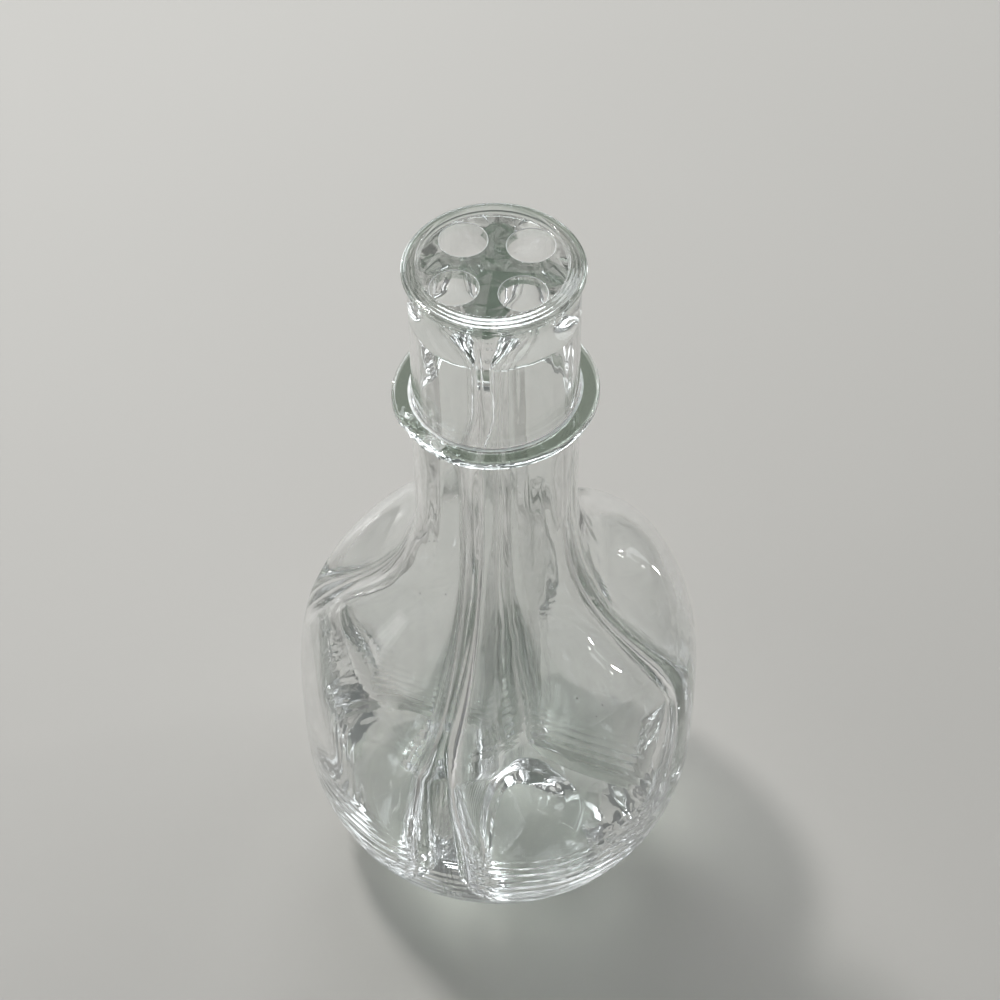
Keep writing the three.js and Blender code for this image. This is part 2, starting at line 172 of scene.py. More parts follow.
def turned(points, angle):
    c, s = np.cos(angle), np.sin(angle)
    x, y = points[..., 0], points[..., 1]
    return np.stack([c * x - s * y, s * x + c * y, points[..., 2]], axis=-1)


def quarter_turned(points, quarter):
    return turned(points, quarter * math.pi / 2)


# Unevenness of hand-worked glass, as sums of slow waves in seeded directions

WAVE_CREST = 1.4  # higher waves are cut off


class Unevenness:
    def __init__(self, seed, reach, count=14):
        random = np.random.default_rng(seed)
        self.waves = random.normal(size=(count, 3)) / np.array(reach)
        self.phases = random.uniform(0, 2 * math.pi, count)

    def at(self, points):
        """From -1 to 1."""
        waves = np.sin(points @ self.waves.T + self.phases)
        height = waves.sum(axis=-1) / math.sqrt(2 * len(self.phases))
        return np.clip(height, -WAVE_CREST, WAVE_CREST) / WAVE_CREST

    def share_at(self, points):
        """From 0 to 1."""
        return 0.5 + 0.5 * self.at(points)


OUTER_SWELL = Unevenness(3, (13 * MM, 13 * MM, 16 * MM))
INNER_SWELL = Unevenness(5, (8 * MM, 8 * MM, 13 * MM))
DRAWN_LINES = Unevenness(8, (1.3 * MM, 1.3 * MM, 60 * MM), 24)
FINE_LINES = Unevenness(9, (0.6 * MM, 0.6 * MM, 45 * MM), 24)
BOWL_LUMPS = Unevenness(23, (6 * MM, 6 * MM, 6 * MM), 18)
MARK_DRIFT = Unevenness(29, (16 * MM, 16 * MM, 20 * MM))
MARK_FADE = Unevenness(31, (11 * MM, 11 * MM, 9 * MM))
OUTER_DEPTH = 0.32 * MM
INNER_DEPTH = 0.6 * MM
LINE_DEPTH = 0.08 * MM
FINE_LINE_DEPTH = 0.03 * MM
LUMP_DEPTH = 1.7 * MM
MARK_DEPTH = 0.18 * MM
MARK_PITCH = 4.2 * MM
MARK_SWAY = 5  # radians
HEAD_SWELL = 0.35  # the outside's swell in the head, as a share of the body's
NECK_SWELL = 0.5  # the same for the inside
INNER_MARK_DEPTH = 1.5 * MARK_DEPTH
INNER_LINE_SHARE = 1.3
INNER_LINE_SHIFT = 7 * MM  # so that the lines inside aren't behind those outside

# Heights between which each comes in or fades out
LINES_IN = (90 * MM, 150 * MM)
MARKS_IN = (1 * MM, 6 * MM)
MARKS_OUT = (30 * MM, 62 * MM)
SWELL_IN = (0, 22 * MM)
OUTSIDE_OUT = (PLATE_BOTTOM - 6 * MM, PLATE_BOTTOM)
INSIDE_OUT = (PLATE_BOTTOM - 9 * MM, PLATE_BOTTOM - 2 * MM)
NECK_IN = (FLARE_TOP - 20 * MM, FLARE_TOP)
FLAT = np.array([1, 1, 0])


def drawn_lines(points):
    """The depth of fine upright lines where the glass was drawn out, in the neck and head."""
    z = points[..., 2]
    share = smoothstep(z, *LINES_IN) * (1 - smoothstep(z, *OUTSIDE_OUT))
    fine = FINE_LINE_DEPTH * FINE_LINES.share_at(points)
    return share * (LINE_DEPTH * DRAWN_LINES.share_at(points) + fine)


def heel_marks(points):
    """Level ridges that the turned tool left in the lower body, from -1 to 1."""
    z = points[..., 2]
    fade = (1 - smoothstep(z, *MARKS_OUT)) * MARK_FADE.share_at(points)
    return fade * np.sin(2 * math.pi * z / MARK_PITCH + MARK_SWAY * MARK_DRIFT.at(points))


def worked_outside(points):
    """Draws outside points in towards the axis a little, and never out."""
    z = points[..., 2]
    calm = smoothstep(z, *SWELL_IN) * (1 - smoothstep(z, *OUTSIDE_OUT))
    near_head = smoothstep(z, FLARE_TOP, JOINT_HEIGHT)
    swell = OUTER_DEPTH * mix(1, HEAD_SWELL, near_head) * OUTER_SWELL.share_at(points)
    marks = MARK_DEPTH * (0.5 + 0.5 * heel_marks(points)) * smoothstep(z, *MARKS_IN)
    depth = swell * calm + marks + drawn_lines(points)
    return points - unit(points * FLAT) * depth[..., None]


def worked_inside(points, middle, place):
    """Moves a hollow's points out or in. place takes them to the object's frame."""
    z = points[:, 2]
    placed = place(points)
    centres = np.column_stack([np.tile(middle, (len(points), 1)), np.maximum(z, BOWL_TOP)])
    away = unit(points - centres)
    down = np.clip(-away[:, 2], 0, 1)
    calm = 1 - smoothstep(z, *INSIDE_OUT)
    swell = INNER_DEPTH * mix(1, NECK_SWELL, smoothstep(z, *NECK_IN))
    amount = swell * INNER_SWELL.at(placed) + LUMP_DEPTH * down * BOWL_LUMPS.at(placed)
    amount = amount + INNER_MARK_DEPTH * heel_marks(placed)
    amount = amount - INNER_LINE_SHARE * drawn_lines(placed + INNER_LINE_SHIFT)
    return place(points + away * (amount * calm)[:, None])


# The outline of the body in a plane through the axis, as (radius, height) for a stage: 0 at the
# pad, 1 at the widest, 2 at the shoulder, 3 where the neck starts

def heel_outline(z, wall):
    depth = BELLY_HEIGHT + HEEL_CUT
    return oval(BELLY_HEIGHT - z, BODY_RADIUS - wall, depth, HEEL_POWER), z


def shoulder_height(radius, wall, rise):
    return BELLY_HEIGHT + oval(radius, rise - wall, BODY_RADIUS - wall, SHOULDER_POWER)


def shoulder_radius(z, wall, rise):
    return oval(z - BELLY_HEIGHT, BODY_RADIUS - wall, rise - wall, SHOULDER_POWER)


def curve_point(points, t):
    a, b, c, d = (np.array(p) for p in points)
    s = 1 - t
    return tuple(a * s**3 + 3 * b * s * s * t + 3 * c * s * t * t + d * t**3)


def lobe_outline(stage, inside, rise):
    wall = BODY_WALL * inside
    edge = BODY_RADIUS - LOBE_FLARE_INSET - wall * SHOULDER_LEAN
    edge_height = shoulder_height(edge, wall, rise)
    if stage <= 1:
        return heel_outline(mix(PAD_TOP, BELLY_HEIGHT, stage), wall)
    if stage <= 2:
        z = mix(BELLY_HEIGHT, edge_height, stage - 1)
        return shoulder_radius(z, wall, rise), z
    nudge = 0.01 * MM
    slope = Vector((-nudge, edge_height - shoulder_height(edge + nudge, wall, rise))).normalized()
    reach = (edge - NECK_RADIUS) * LOBE_LEAD
    neck = NECK_RADIUS - NECK_WALL * inside
    return curve_point([
        (edge, edge_height),
        (edge + slope.x * reach, edge_height + slope.y * reach),
        (neck, mix(edge_height, FLARE_TOP, LOBE_NECK_LEAD)),
        (neck, FLARE_TOP),
    ], stage - 2)


def crease_outline(stage, inside):
    """The sharp outline, with its corner at stage 2 rounded off."""
    reach = CREASE_ROUNDING * smoothstep(1 - abs(stage - 2) / CREASE_ROUNDED, 0, 1)
    if reach == 0:
        return sharp_crease_outline(stage, inside)
    around = [sharp_crease_outline(stage + reach * t, inside) for t in (-1, -0.5, 0, 0.5, 1)]
    radius, z = np.array(around).T @ np.array([1, 2, 2, 2, 1]) / 8
    return radius, z


def sharp_crease_outline(stage, inside):
    wall = BODY_WALL * inside
    corner = BELLY_HEIGHT + CREASE_CORNER_RISE - wall * GROOVE_INSIDE_DROP
    if stage <= 1:
        return heel_outline(mix(PAD_TOP, BELLY_HEIGHT, stage), wall)
    if stage <= 2:
        z = mix(BELLY_HEIGHT, corner, stage - 1)
        return shoulder_radius(z, wall, SHOULDER_RISE), z
    edge = shoulder_radius(corner, wall, SHOULDER_RISE)
    neck = NECK_RADIUS - NECK_GROOVE_DEPTH - NECK_WALL * inside
    lead_up = CREASE_INNER_LEAD_UP if inside else CREASE_LEAD_UP
    return curve_point([
        (edge, corner),
        (mix(neck, edge, CREASE_LEAD_IN), mix(corner, FLARE_TOP, lead_up)),
        (mix(neck, edge, CREASE_NECK_OUT), mix(FLARE_TOP, corner, CREASE_NECK_LEAD)),
        (neck, FLARE_TOP),
    ], stage - 2)


# The arc of a quarter runs from 0 at one partition wall to 1 at the next
STEPS = np.linspace(0, 1, ARC_STEPS + 1)
ARC = STEPS - ARC_CROWDING * np.sin(2 * math.pi * STEPS) / (2 * math.pi)
RING_ARCS = np.concatenate([np.zeros(WEB_STEPS), ARC, np.zeros(WEB_STEPS - 1)])
ON_ARC = np.concatenate([np.full(WEB_STEPS, False), np.full(ARC_STEPS, True), np.full(WEB_STEPS, False)])


def lobe_share(arc):
    least = GROOVE_FILLET**GROOVE_SHARPNESS
    most = (1 + GROOVE_FILLET**2) ** (GROOVE_SHARPNESS / 2)
    value = (np.sin(math.pi * arc) ** 2 + GROOVE_FILLET**2) ** (GROOVE_SHARPNESS / 2)
    return (value - least) / (most - least)


def neck_radius(z, arc, inside):
    plain = mix(NECK_RADIUS - NECK_GROOVE_DEPTH, NECK_RADIUS, lobe_share(arc))
    roundness = smoothstep(z, JOINT_HEIGHT - NECK_ROUND_START, JOINT_HEIGHT - NECK_ROUND_END)
    return mix(plain, HEAD_RADIUS, roundness) - NECK_WALL * inside


def head_share(z):
    """0 where the cross lies as in the body, 1 where it has turned into the head's."""
    return smoothstep(z, JOINT_HEIGHT - TWIST_LENGTH, JOINT_HEIGHT + TWIST_LENGTH)


def cross_shift(z, quarter):
    """Where the cross's middle lies at a height, seen from a quarter in the turned cross."""
    x, y = quarter_turned(np.append(POUR_SHIFT, 0), -quarter)[:2]
    share = head_share(z)
    return x * share, y * share


def arc_angles(z, arc, quarter):
    """Angles round the axis, in the turned cross, between the two partition walls."""
    x, y = cross_shift(z, quarter)
    radius = neck_radius(z, 0.0, 0)
    start = np.arcsin(y / radius)
    end = np.arccos(x / radius)
    return start + arc * (end - start)


def from_cross(points, z, quarter):
    """From the turned cross of a quarter to the object's frame."""
    return turned(points, HEAD_TURN * head_share(z) + quarter * math.pi / 2)


def with_webs(arc_points, middle):
    """A ring round a quarter: out along one partition wall, round the arc, back along the other."""
    along = np.linspace(0, 1, WEB_STEPS + 1)[:, None]
    out = middle + along[:-1] * (arc_points[0] - middle)
    back = middle + along[1:-1][::-1] * (arc_points[-1] - middle)
    return np.concatenate([out, arc_points, back])


def body_arc(stage, inside, rise, arc):
    share = lobe_share(arc)
    lobe_radius, lobe_z = lobe_outline(stage, inside, rise)
    crease_radius, crease_z = crease_outline(stage, inside)
    angle = arc * math.pi / 2
    return polar(mix(crease_radius, lobe_radius, share), angle, mix(crease_z, lobe_z, share))


def body_ring(stage, rise, quarter):
    arc = worked_outside(quarter_turned(body_arc(stage, 0, rise, ARC), quarter))
    return with_webs(arc, np.array([0, 0, arc[0][2]]))


def neck_arc(z, quarter):
    """Outside of the neck or head. z is one height, or one for each point of the arc."""
    plain = polar(neck_radius(z, ARC, 0), arc_angles(z, ARC, quarter), z)
    return worked_outside(from_cross(plain, z, quarter))


def cross_middle(z, quarter):
    x, y = cross_shift(z, quarter)
    return from_cross(np.array([x, y, z]), z, quarter)


def neck_ring(z, quarter, middle_height=None):
    height = z if middle_height is None else middle_height
    return with_webs(neck_arc(z, quarter), cross_middle(height, quarter))


def reach_inside(middle, direction, radius, web, power=CORNER_POWER):
    """How far a quarter's hollow reaches from its middle, with its corners rounded."""
    ahead = direction @ middle
    far = -ahead + np.sqrt(ahead**2 - middle @ middle + radius**2)
    total = far**-power
    for side in direction.T:
        total = total + (np.maximum(-side, 0) / web) ** power
    return total ** (-1 / power)


def body_corner_power(stage):
    """A chamber is rounder low down, so there is more glass in the middle of the cross there."""
    return mix(LOW_CORNER_POWER, CORNER_POWER, smoothstep(stage, BOWL_STAGE, CORNER_FULL_STAGE))


def web_half(stage):
    return mix(WEB_HALF, NECK_WEB_HALF, smoothstep(stage, 2, 3))


def hollow_middle(stage):
    return mix(web_half(stage), crease_outline(stage, 1)[0], HOLLOW_MIDDLE)


def body_hollow(stage, rise, quarter, scale=1.0, height=None):
    offset = hollow_middle(stage)
    middle = np.array([offset, offset])
    outside = with_webs(body_arc(stage, 0, rise, ARC), np.zeros(3))
    wall = body_arc(stage, 1, rise, RING_ARCS)
    direction = unit(outside[:, :2] - middle)
    radius = np.hypot(wall[:, 0], wall[:, 1])
    web = offset - web_half(stage)
    reach = scale * reach_inside(middle, direction, radius, web, body_corner_power(stage))
    z = wall[:, 2] if height is None else np.full(len(wall), height)
    plain = np.column_stack([middle + direction * reach[:, None], z])
    return worked_inside(plain, middle, lambda points: quarter_turned(points, quarter))


def neck_hollow(z, quarter):
    """The hollow of a neck or throat, which ends as the round hole under the plate."""
    share = head_share(z)
    shift = np.array(cross_shift(z, quarter))
    offset = mix(hollow_middle(3), HOLE_PITCH / 2, share)
    middle = shift + offset
    angle = arc_angles(z, ARC, quarter)
    outside = with_webs(polar(neck_radius(z, ARC, 0), angle, z), np.array([*shift, z]))
    radius = neck_radius(z, RING_ARCS, 1)
    direction = unit(outside[:, :2] - middle)
    reach = reach_inside(middle, direction, radius, offset - NECK_WEB_HALF)
    round_bottom = PLATE_BOTTOM - THROAT_COLLAR
    straight = np.clip((z - round_bottom + THROAT_FLARE) / THROAT_FLARE, 0, 1)
    eased = smoothstep(z, round_bottom - THROAT_FLARE, round_bottom)
    reach = mix(reach, HOLE_RADIUS, mix(straight, eased, THROAT_EASE))
    plain = np.column_stack([middle + direction * reach[:, None], np.full(len(reach), z)])
    return worked_inside(plain, middle, lambda points: from_cross(points, z, quarter))


# A piece is gathered as rings of points with bands of faces between them

class Shell:
    def __init__(self, name, slot):
        self.name, self.slot = name, slot
        self.count = 0
        self.points, self.quads, self.quad_kinds = [], [], []
        self.tips, self.tip_kinds = [], []

    def ring(self, points):
        points = np.asarray(points, float).reshape(-1, 3)
        start = self.count
        self.points.append(points)
        self.count += len(points)
        return np.arange(start, self.count)

    def rings(self, rows):
        return [self.ring(points) for points in rows]

    def band(self, a, b, kinds, closed=True):
        """Faces between two rings. kinds is one kind, or one for each face."""
        faces = np.stack([a, np.roll(a, -1), np.roll(b, -1), b], axis=1)
        faces = faces if closed else faces[:-1]
        self.quads.append(faces)
        self.quad_kinds.append(np.broadcast_to(kinds, len(faces)))

    def bands(self, rings, kinds):
        """Bands from ring to ring. A list of kinds has an entry for each band."""
        each = kinds if isinstance(kinds, list) else [kinds] * len(rings)
        for a, b, band_kinds in zip(rings, rings[1:], each):
            self.band(a, b, band_kinds)

    def tip(self, ring, point, kind, upward):
        """Closes a ring with faces to one point."""
        (middle,) = self.ring(point)
        following = np.roll(ring, -1)
        middles = np.full(len(ring), middle)
        faces = (ring, following, middles) if upward else (following, ring, middles)
        self.tips.append(np.stack(faces, axis=1))
        self.tip_kinds.append(np.full(len(ring), kind))

    def all_points(self):
        return np.concatenate(self.points)

    def face_sets(self):
        """The four-sided faces and then the three-sided ones, each with their kinds."""
        yield np.concatenate(self.quads), np.concatenate(self.quad_kinds)
        if self.tips:
            yield np.concatenate(self.tips), np.concatenate(self.tip_kinds)


# Seen from a quarter, the joint with the next quarter is its own to show, so that of two faces in
# the same place only one carries the painted sheet of shade
CHAMBER_KINDS = np.where(ON_ARC, GLASS, FUSED)
CHAMBER_KINDS[:WEB_STEPS] = SHADE_SHEET
UNDER_COLLAR_KINDS = np.where(ON_ARC, FUSED, CHAMBER_KINDS)
PLATE_FLOOR_KINDS = np.where(ON_ARC, FUSED, SHADE_SHEET)
# The hole's fillet carries a painted highlight, a white line.
HOLE_KINDS = [GLASS] * 5 + [HIGHLIGHT_LINE] * 2 + [GLASS] * 2  # the white line lies in the hole's fillet

HEEL_STAGES = np.linspace(0, 1, 76)[:-1]
BODY_STAGES = np.concatenate([np.linspace(1, 2, 24), np.linspace(2, 3, 58)[1:]])
BOWL_STAGE = (BOWL_TOP - PAD_TOP) / (BELLY_HEIGHT - PAD_TOP)
BOWL_TURNS = np.linspace(0, 1, 54)[:-1] * math.pi / 2


def collar_tilt(angle, radius):
    return -radius * np.cos(angle - COLLAR_LOW_SIDE) * math.sin(COLLAR_TILT)


def collar_middle(side):
    return COLLAR_HEIGHT + side * (COLLAR_HALF + COLLAR_FILLET)


def collar_edge(side, quarter):
    """Heights along a quarter's arc where the collar meets the neck, above (1) or below (-1), or
    where the chambers and throats meet behind it (0)."""
    z = np.full(ARC_STEPS + 1, collar_middle(side))
    for _ in range(3):
        angle = arc_angles(z, ARC, quarter) + HEAD_TURN * head_share(z) + quarter * math.pi / 2
        z = collar_middle(side) + collar_tilt(angle, HEAD_RADIUS)
    return z


def collar_ring(side, quarter):
    return neck_ring(collar_edge(side, quarter), quarter, collar_middle(side))


def chamber(quarter):
    place = PLACES[quarter]
    rise = LOBE_RISES[place]
    shell = Shell(f"chamber_{place}", "clear_glass")
    neck_end = collar_edge(-1, quarter).min() - COLLAR_CLEARANCE
    outer = [body_ring(stage, rise, quarter) for stage in (*HEEL_STAGES, *BODY_STAGES)]
    outer += [neck_ring(z, quarter) for z in np.linspace(FLARE_TOP, neck_end, 18)[1:]]
    outside = shell.rings([*outer, collar_ring(-1, quarter)])
    shell.bands(outside, CHAMBER_KINDS)
    joint = shell.ring(collar_ring(0, quarter))
    shell.band(outside[-1], joint, UNDER_COLLAR_KINDS)
    offset = hollow_middle(BOWL_STAGE)
    under = quarter_turned(np.array([offset, offset, PAD_TOP]), quarter)
    shell.tip(outside[0], under, FUSED, upward=False)
    inner = [neck_hollow(z, quarter) for z in np.linspace(JOINT_HEIGHT, FLARE_TOP, 26)[:-1]]
    inner += [body_hollow(stage, rise, quarter) for stage in BODY_STAGES[::-1]]
    inner += [body_hollow(s, rise, quarter) for s in np.linspace(1, BOWL_STAGE, 30)[1:-1]]
    for turn in BOWL_TURNS:
        depth = math.sin(turn) ** (2 / BOWL_POWER)
        scale = math.cos(turn) ** (2 / BOWL_POWER)
        height = mix(BOWL_TOP, BOWL_BOTTOM, depth)
        inner.append(body_hollow(BOWL_STAGE, rise, quarter, scale, height))
    inside = shell.rings(inner)
    shell.band(joint, inside[0], FUSED)
    shell.bands(inside, GLASS)
    shell.tip(inside[-1], inner[-1].mean(axis=0), GLASS, upward=True)
    return shell


def throat(quarter):
    shell = Shell(f"throat_{PLACES[quarter]}", "clear_glass")
    head_start = collar_edge(1, quarter).max() + COLLAR_CLEARANCE
    outer = [neck_ring(z, quarter) for z in np.linspace(head_start, PLATE_BOTTOM, 22)]
    inner = [neck_hollow(z, quarter) for z in np.linspace(PLATE_BOTTOM, JOINT_HEIGHT, 44)]
    joint = shell.ring(collar_ring(0, quarter))
    outside = shell.rings([collar_ring(1, quarter), *outer])
    shell.band(joint, outside[0], UNDER_COLLAR_KINDS)
    shell.bands(outside, CHAMBER_KINDS)
    inside = shell.rings(inner)
    shell.band(outside[-1], inside[0], FUSED)
    shell.bands(inside, GLASS)
    shell.band(inside[-1], joint, FUSED)
    return shell


def recess_arc(quarter):
    """A quarter of the circle where the lip's inner wall meets the plate."""
    x, y = cross_shift(PLATE_TOP, quarter)
    plain = polar(RECESS_RADIUS, ARC * math.pi / 2, PLATE_TOP) + np.array([x, y, 0])
    return from_cross(plain, PLATE_TOP, quarter)


def pour_plate():
    """The plate is gathered a quarter at a time round each hole."""
    shell = Shell("pour_plate", "thick_glass")
    lift = np.array([0, 0, PLATE_TOP - PLATE_BOTTOM])
    arcs = slice(WEB_STEPS, WEB_STEPS + ARC_STEPS + 1)
    for quarter in range(4):
        hole_bottom = neck_hollow(PLATE_BOTTOM, quarter)
        x, y = cross_shift(PLATE_TOP, quarter)
        centre = from_cross(np.array([x + HOLE_PITCH / 2, y + HOLE_PITCH / 2, 0]), PLATE_TOP, quarter)
        outward = unit((hole_bottom - centre) * FLAT)
        rim = shell.ring(neck_ring(PLATE_BOTTOM, quarter))
        hole = shell.ring(hole_bottom)
        shell.band(hole, rim, PLATE_FLOOR_KINDS)
        wall = [hole_bottom + (lift - [0, 0, HOLE_FILLET]) * t for t in np.linspace(0, 1, 5)[1:]]
        for turn in np.linspace(0, math.pi / 2, 5)[1:]:
            out = HOLE_FILLET * (1 - math.cos(turn))
            down = HOLE_FILLET * (1 - math.sin(turn))
            wall.append(hole_bottom + lift + outward * out - [0, 0, down])
        wall.append(with_webs(recess_arc(quarter), cross_middle(PLATE_TOP, quarter)))
        for points, kind in zip(wall, HOLE_KINDS):
            following = shell.ring(points)
            shell.band(following, hole, kind)
            hole = following
        top_rim = shell.ring(neck_arc(PLATE_TOP, quarter))
        shell.band(top_rim, hole[arcs], FUSED, closed=False)
        shell.band(rim[arcs], top_rim, GLASS, closed=False)
    return shell


def whole_ring(arcs):
    """Four arcs joined into one ring, each without its last point."""
    return np.concatenate([arc[:-1] for arc in arcs])


def angles_of(points):
    return np.arctan2(points[:, 1], points[:, 0])


LIP_WAVES = Unevenness(13, (10 * MM, 10 * MM, 10 * MM))
LIP_WAVE_IN = 0.12 * MM
LIP_WAVE_DOWN = 0.1 * MM
BEAD_START = -0.3 * math.pi
BEAD_END = 0.54 * math.pi
LIP_RIDGE = 0.13 * MM
LIP_RIDGE_PACE = 7  # radians of a ridge's wave for a radian round the bead
LIP_THREAD = 0.025 * MM
LIP_FALL = 0.126  # the slope of the lip's top, down to its inner corner
LIP_CORNER = 0.6 * MM
RECESS_FILLET = 0.35 * MM


def rim_lip():
    shell = Shell("rim_lip", "thick_glass")
    outer = whole_ring([neck_arc(PLATE_TOP, quarter) for quarter in range(4)])
    recess = whole_ring([recess_arc(quarter) for quarter in range(4)])
    angle = angles_of(outer)
    outward = polar(1, angle, 0)
    bead_middle = HEAD_RADIUS + LIP_OVERHANG - BEAD_RADIUS
    bead = []
    for turn in np.linspace(BEAD_START, BEAD_END, 40):
        ridge = 0.5 - 0.5 * math.cos(LIP_RIDGE_PACE * (turn - BEAD_START))
        size = BEAD_RADIUS - LIP_RIDGE * ridge
        ring = polar(bead_middle + size * math.cos(turn), angle, BEAD_HEIGHT)
        ring[:, 2] += size * math.sin(turn)
        waves = LIP_WAVES.share_at(ring)
        ring -= outward * (LIP_WAVE_IN * waves)[:, None]
        ring[:, 2] -= LIP_WAVE_DOWN * waves * max(0, math.sin(turn))
        bead.append(ring)
    rows = [outer]
    for share in (0.35, 0.7):
        rows.append(mix(outer, bead[0], share) - outward * LIP_WAVE_IN)
    rows += bead
    back = (bead[-1] - recess) * FLAT
    width = np.linalg.norm(back, axis=1)
    back /= width[:, None]

    def inner(away, height):
        """A ring at a distance and a height from the foot of the lip's inner wall."""
        ring = recess + back * np.reshape(away, (-1, 1))
        ring[:, 2] += height
        return ring

    corner = RECESS_FILLET + LIP_CORNER
    crest_height = bead[-1][:, 2] - PLATE_TOP
    corner_height = crest_height - LIP_FALL * (width - corner)
    for share in np.linspace(0, 1, 11)[1:]:
        thread = LIP_THREAD * math.sin(3 * math.pi * share) ** 2
        rows.append(inner(mix(width, corner, share), mix(crest_height, corner_height, share) - thread))
    deep = len(rows) - 1
    for turn in np.linspace(0, math.pi / 2, 8)[1:]:
        height = corner_height - LIP_CORNER * (1 - math.cos(turn))
        rows.append(inner(corner - LIP_CORNER * math.sin(turn), height))
    for share in (1 / 3, 2 / 3, 1):
        rows.append(inner(RECESS_FILLET, mix(corner_height - LIP_CORNER, RECESS_FILLET, share)))
    for turn in np.linspace(0, math.pi / 2, 5)[1:]:
        rows.append(inner(RECESS_FILLET * math.cos(turn), RECESS_FILLET * (1 - math.sin(turn))))
    rings = shell.rings(rows)
    shell.bands(rings, [DEEP] * deep + [GLASS] * (len(rows) - 1 - deep))
    shell.band(rings[-1], rings[0], FUSED)
    return shell


COLLAR_WAVES = Unevenness(11, (9 * MM, 9 * MM, 30 * MM))
COLLAR_NICKS = Unevenness(12, (1.6 * MM, 1.6 * MM, 30 * MM), 20)
CRUMPLE = Unevenness(17, (1.3 * MM, 1.3 * MM, 1.3 * MM), 20)
COLLAR_WAVE_IN = 0.3 * MM
COLLAR_WAVE_UP = 0.12 * MM
NICK_DEPTH = 0.22 * MM
CRUMPLE_IN = 0.8 * MM
CRUMPLE_UP = 1.1 * MM
CRUMPLE_SWELL = 0.4 * MM

# The collar's flats are deep green, but for clear patches in the crumple and fine clear ribs
CLEAR_PATCHES = Unevenness(19, (1.1 * MM, 1.1 * MM, 30 * MM), 20)
CLEAR_SIDE = math.radians(249)
CLEAR_WIDTH = 0.24  # radians
COLLAR_RIBS = Unevenness(21, (0.5 * MM, 0.5 * MM, 30 * MM), 20)
RIB_SIDE = math.radians(285)
RIB_WIDTH = 0.32  # radians
RIB_LEVEL = 0.6


def neck_collar():
    shell = Shell("neck_collar", "thick_glass")
    low = whole_ring([neck_arc(collar_edge(-1, quarter), quarter) for quarter in range(4)])
    high = whole_ring([neck_arc(collar_edge(1, quarter), quarter) for quarter in range(4)])
    turn_low, turn_high = np.unwrap(angles_of(low)), np.unwrap(angles_of(high))

    def nearness(side, width, power):
        """1 at one side of the collar, 0 far from it."""
        return np.exp(-((np.arccos(np.cos(turn_high - side)) / width) ** power))

    bunch = nearness(CRUMPLE_SIDE, CRUMPLE_WIDTH, 4)

    def section(out, up, share):
        """A ring at a distance out from the neck and a height from the collar's middle."""
        angle = mix(turn_low, turn_high, share)
        radius = HEAD_RADIUS + out
        ring = polar(radius, angle, COLLAR_HEIGHT + up + collar_tilt(angle, radius))
        edge = max(0.0, out / COLLAR_OVERHANG)
        fold = 1 - 2 * np.abs(CRUMPLE.at(ring))
        waves = COLLAR_WAVE_IN * COLLAR_WAVES.share_at(ring)
        nicks = NICK_DEPTH * edge**4 * COLLAR_NICKS.share_at(ring)
        crumple = CRUMPLE_IN * bunch * (0.7 + 0.5 * fold)
        ring -= polar(1, angle, 0) * (edge * (waves + nicks + crumple))[:, None]
        ring[:, 2] += edge * (COLLAR_WAVE_UP * COLLAR_WAVES.at(ring) + CRUMPLE_UP * bunch * fold)
        ring[:, 2] += edge * np.sign(up) * CRUMPLE_SWELL * bunch
        return ring

    def fillet(side):
        rows = []
        for turn in np.linspace(0, math.pi / 2, 8)[1:]:
            out = COLLAR_FILLET * (1 - math.cos(turn))
            up = COLLAR_HALF + COLLAR_FILLET * (1 - math.sin(turn))
            share = 0.5 + side * 0.5 * up / (COLLAR_HALF + COLLAR_FILLET)
            rows.append(section(out, side * up, share))
        return rows

    flats = np.linspace(COLLAR_FILLET, COLLAR_OVERHANG - COLLAR_HALF, 12)[1:]
    edge_turns = np.linspace(-math.pi / 2, math.pi / 2, 18)[1:-1]
    rows = [low, *fillet(-1)]
    rows += [section(out, -COLLAR_HALF, 0.4) for out in flats]
    for turn in edge_turns:
        out = COLLAR_OVERHANG - COLLAR_HALF * (1 - math.cos(turn))
        rows.append(section(out, COLLAR_HALF * math.sin(turn), 0.5))
    rows += [section(out, COLLAR_HALF, 0.6) for out in flats[::-1]]
    rows += [*fillet(1)[::-1], high]
    patched = nearness(CLEAR_SIDE, CLEAR_WIDTH, 2) > 0.25 + 0.75 * CLEAR_PATCHES.share_at(high)
    low_kinds = np.where(patched, GLASS, DEEP)
    ribbed = nearness(RIB_SIDE, RIB_WIDTH, 4) * COLLAR_RIBS.share_at(high) > RIB_LEVEL
    high_kinds = np.where(ribbed, GLASS, low_kinds)
    # The last band, 0.1 mm high where the upper fillet runs out on the neck, has no faces
    kinds = [GLASS] * 7 + [low_kinds] * len(flats) + [GLASS] * len(edge_turns)
    # The upper fillet along the neck carries the painted highlight line.
    kinds += [high_kinds] * len(flats) + [HIGHLIGHT_LINE] * 7
    rings = shell.rings(rows)
    shell.bands(rings, kinds)
    shell.band(rings[-1], rings[0], FUSED)
    return shell


def base_pad():
    shell = Shell("base_pad", "thick_glass")
    angle = whole_ring([(ARC + quarter) * math.pi / 2 for quarter in range(4)])
    foot = heel_outline(0.0, 0)[0]
    push_up = foot - FOOT_RING_WIDTH
    rows = [(push_up * t, PUSH_UP_RISE * (1 - t * t)) for t in np.linspace(0, 1, 16)[1:-1]]
    rows += [(push_up, 0.0), (push_up + FOOT_FLAT_EDGE, 0.0), (foot - FOOT_FLAT_EDGE, 0.0)]
    rows.append((foot - FOOT_CUT_IN, FOOT_CUT_UP))
    rows += [heel_outline(PAD_TOP * t, 0) for t in np.linspace(0, 1, 20)[1:] ** PAD_CROWDING]
    rings = shell.rings([worked_outside(polar(radius, angle, z)) for radius, z in rows])
    shell.tip(rings[0], np.array([0, 0, PUSH_UP_RISE]), GLASS, upward=False)
    shell.bands(rings, GLASS)
    shell.tip(rings[-1], np.array([0, 0, PAD_TOP]), FUSED, upward=True)
    return shell


